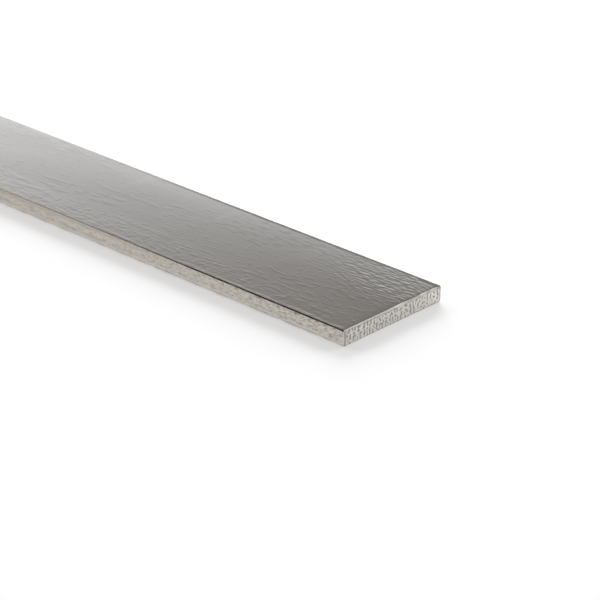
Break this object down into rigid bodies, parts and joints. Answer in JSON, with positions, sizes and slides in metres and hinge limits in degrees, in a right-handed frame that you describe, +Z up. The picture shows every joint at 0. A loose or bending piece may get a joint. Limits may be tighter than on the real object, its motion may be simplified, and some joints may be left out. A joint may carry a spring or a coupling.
{
  "type": "steel flat bar",
  "caption": "Solid rectangular steel bar stock: wide flat faces, keen upper edges, rounded lower edges and square-cut ends.",
  "frame": {"origin": "middle of the underside, at half the length and half the width", "axes": "+X along the length, +Y across the width, +Z up through the thickness"},
  "size_m": [0.9144, 0.0254, 0.0032],
  "materials": {
    "steel": "bare mill finish, dull, with fine streaks along the length and coarser cut marks on edges and ends"
  },
  "bodies": {
    "root": {"flat_bar": "steel"}
  },
  "joints": []
}
